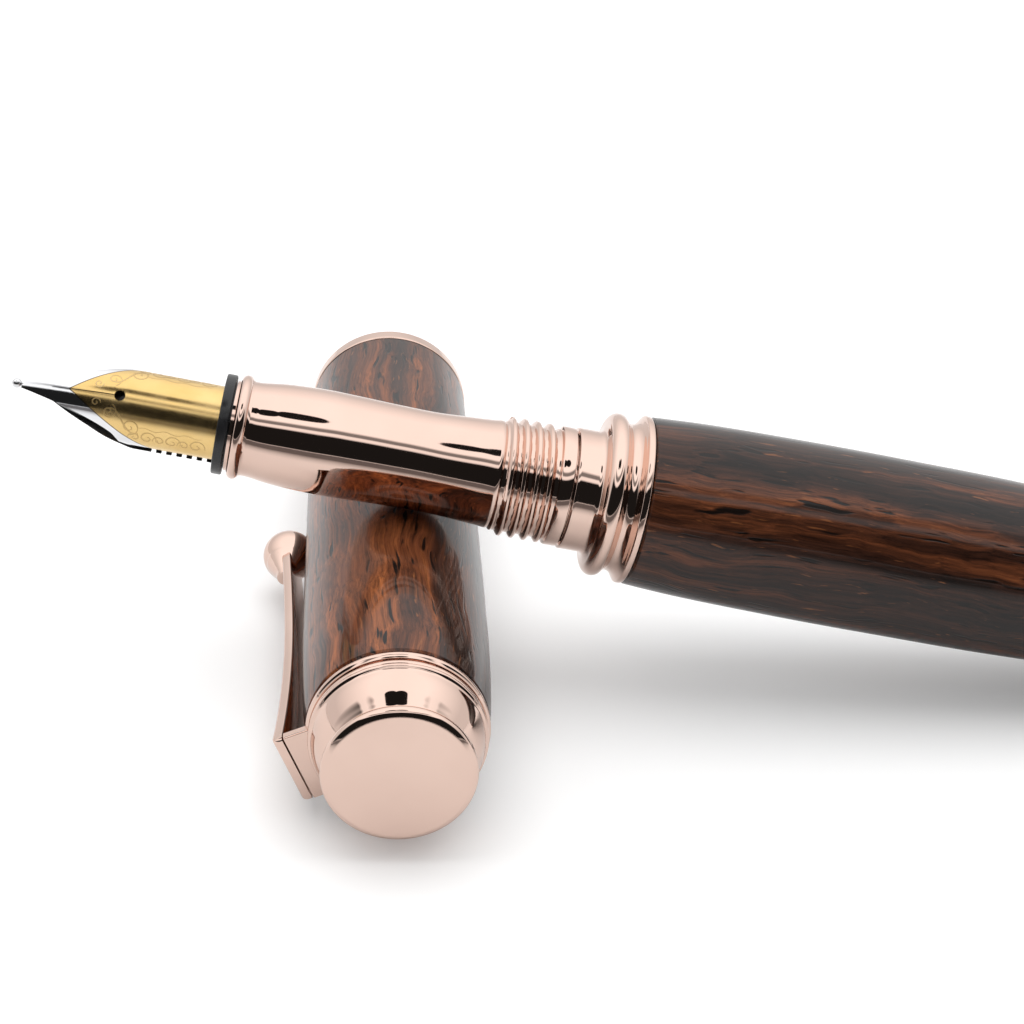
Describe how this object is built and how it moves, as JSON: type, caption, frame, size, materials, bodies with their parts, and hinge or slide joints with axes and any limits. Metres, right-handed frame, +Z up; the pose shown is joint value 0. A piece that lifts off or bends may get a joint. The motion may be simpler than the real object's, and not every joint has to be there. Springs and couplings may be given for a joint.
{
  "type": "fountain pen",
  "caption": "Turned-wood fountain pen with bright metal trim, uncapped and lying across its own clipped cap, with a steel nib, plastic feed and refillable converter.",
  "frame": {"origin": "on the table, under the middle of the whole object's box", "axes": "+Z up; +X along the pen seen from above, from its nib to its barrel end; +Y towards the cap's open mouth"},
  "size_m": [0.1244, 0.071, 0.0283],
  "materials": {
    "rose_gold": "mirror-polished rose gold plate on brass",
    "wood": "dark figured hardwood, glossy with open pores",
    "nib_metal": "polished steel with gold plate inside a bright steel edge",
    "tipping": "ground hard-metal tip",
    "black_plastic": "moulded black plastic",
    "clear_plastic": "clear moulded plastic",
    "rubber": "black seal",
    "brass_tube": "scuffed brass tube",
    "steel": "satin steel"
  },
  "bodies": {
    "cap": {"cap_wood": "wood", "cap_tube": "brass_tube", "cap_lip_ring": "rose_gold", "cap_thread_insert": "black_plastic", "inner_cap": "black_plastic", "cap_bushing": "brass_tube", "cap_bell": "rose_gold", "cap_finial": "rose_gold", "finial_stud": "steel", "clip_bracket": "rose_gold"},
    "clip_arm": {"clip": "rose_gold"},
    "section": {"section_grip": "rose_gold"},
    "nib_collar": {"nib_housing": "black_plastic"},
    "nib_unit": {"nib": "nib_metal", "nib_tipping": "tipping", "feed": "black_plastic"},
    "barrel_lining": {"barrel_tube": "brass_tube"},
    "barrel_front": {"barrel_coupler": "rose_gold"},
    "barrel": {"barrel_wood": "wood", "barrel_end_ring": "rose_gold", "barrel_finial": "rose_gold"},
    "converter": {"converter_tube": "clear_plastic", "converter_sleeve": "rose_gold", "converter_nut": "black_plastic"},
    "converter_handle": {"converter_knob": "black_plastic"},
    "piston": {"converter_piston": "rubber", "converter_piston_rod": "steel"}
  },
  "joints": [
    {"name": "clip_flex", "type": "hinge", "parent": "cap", "child": "clip_arm", "pos_m": [-0.0366, -0.02923, 0.00459], "axis": [-0.3903, -0.0177, 0.9205], "range_deg": [0, 8], "stiffness_Nm_per_rad": 0.5},
    {"name": "pen_lift_off", "type": "slide", "parent": "cap", "child": "section", "axis": [0, 0, 1], "range_m": [0, 0.06]},
    {"name": "nib_back_off", "type": "slide", "parent": "section", "child": "nib_collar", "axis": [-0.9861, 0, 0.1663], "range_m": [0, 0.0048]},
    {"name": "nib_unscrew", "type": "hinge", "parent": "nib_collar", "child": "nib_unit", "pos_m": [-0.04751, -0.00515, 0.02407], "axis": [-0.9861, 0, 0.1663], "range_deg": [0, 2880]},
    {"name": "barrel_pull_off", "type": "slide", "parent": "section", "child": "barrel_lining", "axis": [0.9861, 0, -0.1663], "range_m": [0, 0.07]},
    {"name": "barrel_back_off", "type": "slide", "parent": "barrel_lining", "child": "barrel_front", "axis": [0.9861, 0, -0.1663], "range_m": [0, 0.005]},
    {"name": "barrel_unscrew", "type": "hinge", "parent": "barrel_front", "child": "barrel", "pos_m": [0.0018, -0.00515, 0.01576], "axis": [0.9861, 0, -0.1663], "range_deg": [0, 1800]},
    {"name": "converter_pull", "type": "slide", "parent": "section", "child": "converter", "axis": [0.9861, 0, -0.1663], "range_m": [0, 0.008]},
    {"name": "converter_knob_turn", "type": "hinge", "parent": "converter", "child": "converter_handle", "pos_m": [0.02941, -0.00515, 0.0111], "axis": [0.9861, 0, -0.1663], "range_deg": [0, 2160]},
    {"name": "piston_travel", "type": "slide", "parent": "converter", "child": "piston", "axis": [0.9861, 0, -0.1663], "range_m": [0, 0.012]}
  ],
  "couplings": [
    {"joint": "nib_unscrew", "follows": "nib_back_off", "rad_per_m": 10472},
    {"joint": "barrel_unscrew", "follows": "barrel_back_off", "rad_per_m": 6283.1},
    {"joint": "converter_knob_turn", "follows": "piston_travel", "rad_per_m": 3141.5}
  ]
}
